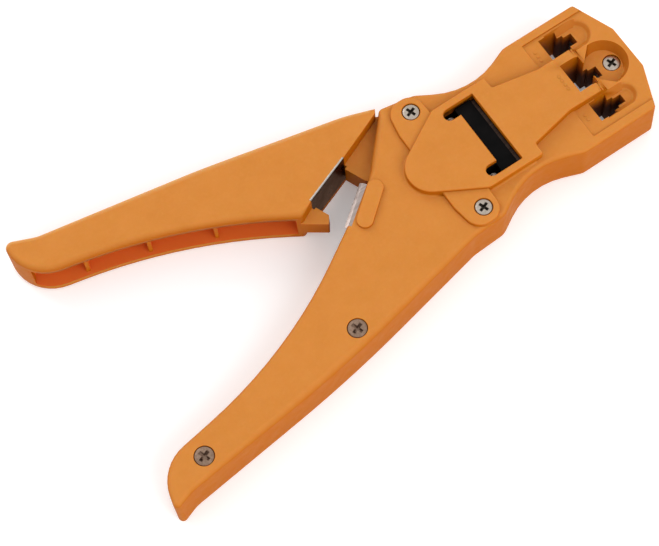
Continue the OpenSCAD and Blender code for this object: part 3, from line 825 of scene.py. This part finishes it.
# Material, width of the broken edges in millimetres, and the nodes that take both
PLAIN_NODES = (
    (BLACK, 0.3, ("ram_block", "die_carrier")),
    (PUSHER, 0.2, ("pusher_plate",)),
    (BLADE, 0.05, ("fixed_blade",)),
    (PLATE, 0.12, ("backing_plate",)),
    (PLATED, 0.2, ("housing_nuts",)),
    (PLATED, 0.1, ("pivot_sleeve", "spacer_sleeve", "blade_rivets", "spring_anchors", "carrier_screws",
                   "spring_hooks", "lever_rivets", "roller_pin")),
    (DIE, 0.08, ("latch_anvil", "thrust_pad", "crimp_die_8", "crimp_die_6", "crimp_die_4",
                 "strain_bar_8", "strain_bar_6", "strain_bar_4", "cam_roller")),
    (DARK, 0.2, ("lever_core",)),
    (BRASS, 0.1, ("pivot_bush",)))


def dress(node, mat, edge):
    """A CAD node keeps its shape; it gets its material and finely broken edges."""
    sharp = math.radians(40)
    obj = NODES[node]
    obj.data.materials.clear()
    obj.data.materials.append(mat)
    weld = obj.modifiers.new("weld", "WELD")
    weld.merge_threshold = WELD_DIST * MM
    flat = obj.modifiers.new("flat", "DECIMATE")
    flat.decimate_type = "DISSOLVE"
    flat.angle_limit = FLAT_ANGLE
    bevel = obj.modifiers.new("edges", "BEVEL")
    bevel.limit_method = "ANGLE"
    bevel.angle_limit = sharp
    bevel.width = edge * MM
    bevel.segments = 2
    weigh_normals(obj, 50)


def plain_nodes():
    """Every node that no detailed piece replaces."""
    for mat, edge, nodes in PLAIN_NODES:
        for node in nodes:
            dress(node, mat, edge)


# ---------------------------------------------------------------- stage

def floor():
    """A plain white floor, a hair below the tool, that glows a little to stay white."""
    half_width, drop, white, glow = 3.0, 0.4 * MM, 0.93, 0.2
    bm = bmesh.new()
    bmesh.ops.create_grid(bm, x_segments=1, y_segments=1, size=half_width)
    for vert in bm.verts:
        vert.co.z = -drop
    mesh = bpy.data.meshes.new("floor")
    bm.to_mesh(mesh)
    bm.free()
    obj = bpy.data.objects.new("floor", mesh)
    SCENE.collection.objects.link(obj)
    mat, _, shader = new_material("pale_floor")
    shader.inputs["Base Color"].default_value = (white, white, white, 1)
    shader.inputs["Roughness"].default_value = 0.9
    shader.inputs["Emission Color"].default_value = (1, 1, 1, 1)
    shader.inputs["Emission Strength"].default_value = glow
    mesh.materials.append(mat)


def area_light(name, place, target, size, power):
    """A round soft light; sizes in metres, power in watts."""
    data = bpy.data.lights.new(name, "AREA")
    data.shape = "DISK"
    data.size = size
    data.energy = power
    obj = bpy.data.objects.new(name, data)
    obj.location = place
    obj.rotation_euler = (Vector(target) - Vector(place)).to_track_quat("-Z", "Y").to_euler()
    SCENE.collection.objects.link(obj)


def lights():
    """An even white world, a light behind the moving handle and one before the fixed one."""
    sky, middle = 0.80, (-0.05, 0, 0)
    world = bpy.data.worlds.new("studio")
    world.use_nodes = True
    background = world.node_tree.nodes["Background"]
    background.inputs["Color"].default_value = (1, 1, 1, 1)
    background.inputs["Strength"].default_value = sky
    SCENE.world = world
    area_light("key", place=(-0.25, 0.75, 0.45), target=middle, size=0.5, power=2.6)
    area_light("fill", place=(0.1, -0.7, 0.6), target=middle, size=0.8, power=4.2)


def camera():
    """Looks down on the front face from the fixed handle's side."""
    place = Vector((-0.18729, -0.25192, 0.67492))
    target = Vector((-0.0690, -0.00786, 0.0090))
    roll = math.radians(-8.35)
    data = bpy.data.cameras.new("camera")
    data.sensor_width = 36
    data.lens = 118.5
    obj = bpy.data.objects.new("camera", data)
    aim = (target - place).to_track_quat("-Z", "Y").to_matrix().to_4x4()
    obj.matrix_world = Matrix.Translation(place) @ aim @ Matrix.Rotation(roll, 4, "Z")
    SCENE.collection.objects.link(obj)
    SCENE.camera = obj


front_shell()
rear_shell()
swinging_handle()
screws()
springs()
plain_nodes()
floor()
lights()
camera()
SCENE.view_settings.view_transform = "Standard"
bpy.context.view_layer.update()
